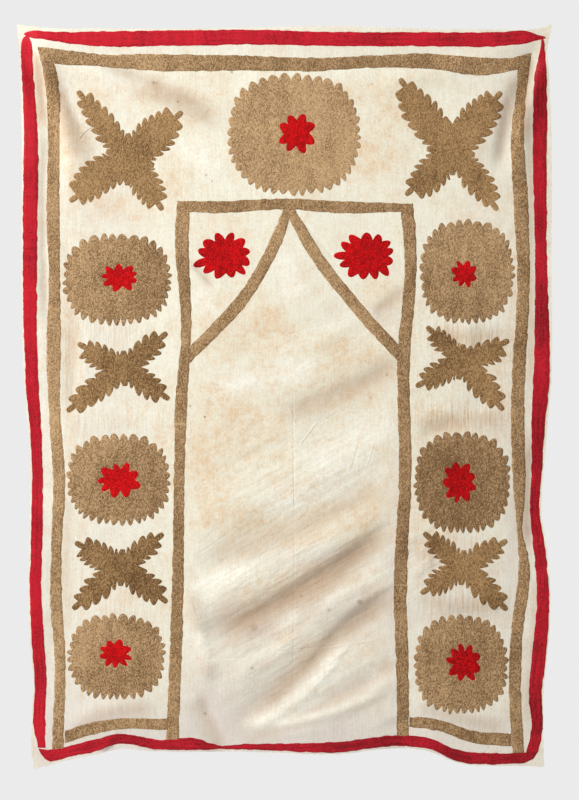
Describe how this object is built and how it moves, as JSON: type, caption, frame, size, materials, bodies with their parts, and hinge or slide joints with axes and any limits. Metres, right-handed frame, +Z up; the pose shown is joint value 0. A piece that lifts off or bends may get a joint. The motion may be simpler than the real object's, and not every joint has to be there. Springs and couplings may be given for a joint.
{
  "type": "suzani embroidered textile",
  "caption": "Cotton wall hanging with a stitched niche, serrated rosettes and leaf crosses, edged with sewn ribbon.",
  "frame": {"origin": "in the cloth at the middle of its top edge, at the mount wall_hang", "axes": "+Z up the hanging cloth, +X to the right seen from the front, and the front faces -Y"},
  "size_m": [1.2665, 0.0211, 1.7624],
  "materials": {
    "cotton": "matte plain cotton, slightly mottled",
    "ribbon": "ribbon with a soft sheen",
    "khaki_stitch": "dense chain stitch, slight sheen",
    "brown_stitch": "dense chain stitch, slight sheen",
    "red_stitch": "dense chain stitch, slight sheen"
  },
  "bodies": {
    "root": {"ground_cloth": "cotton", "ribbon_top_left": "ribbon", "ribbon_top_right": "ribbon", "ribbon_left": "ribbon", "ribbon_right": "ribbon", "ribbon_foot": "ribbon", "outer_line": "khaki_stitch", "foot_bar_left": "khaki_stitch", "foot_bar_right": "khaki_stitch", "niche_frame": "khaki_stitch", "niche_roof": "khaki_stitch", "rosette_top": "khaki_stitch", "rosette_left_upper": "khaki_stitch", "rosette_left_middle": "khaki_stitch", "rosette_left_lower": "khaki_stitch", "rosette_right_upper": "khaki_stitch", "rosette_right_middle": "khaki_stitch", "rosette_right_lower": "khaki_stitch", "centre_top": "red_stitch", "centre_left_upper": "red_stitch", "centre_left_middle": "red_stitch", "centre_left_lower": "red_stitch", "centre_right_upper": "red_stitch", "centre_right_middle": "red_stitch", "centre_right_lower": "red_stitch", "red_rosette_left": "red_stitch", "red_rosette_right": "red_stitch", "cross_top_left": "brown_stitch", "cross_top_right": "brown_stitch", "cross_left_upper": "brown_stitch", "cross_left_lower": "brown_stitch", "cross_right_upper": "brown_stitch", "cross_right_lower": "brown_stitch"}
  },
  "joints": []
}
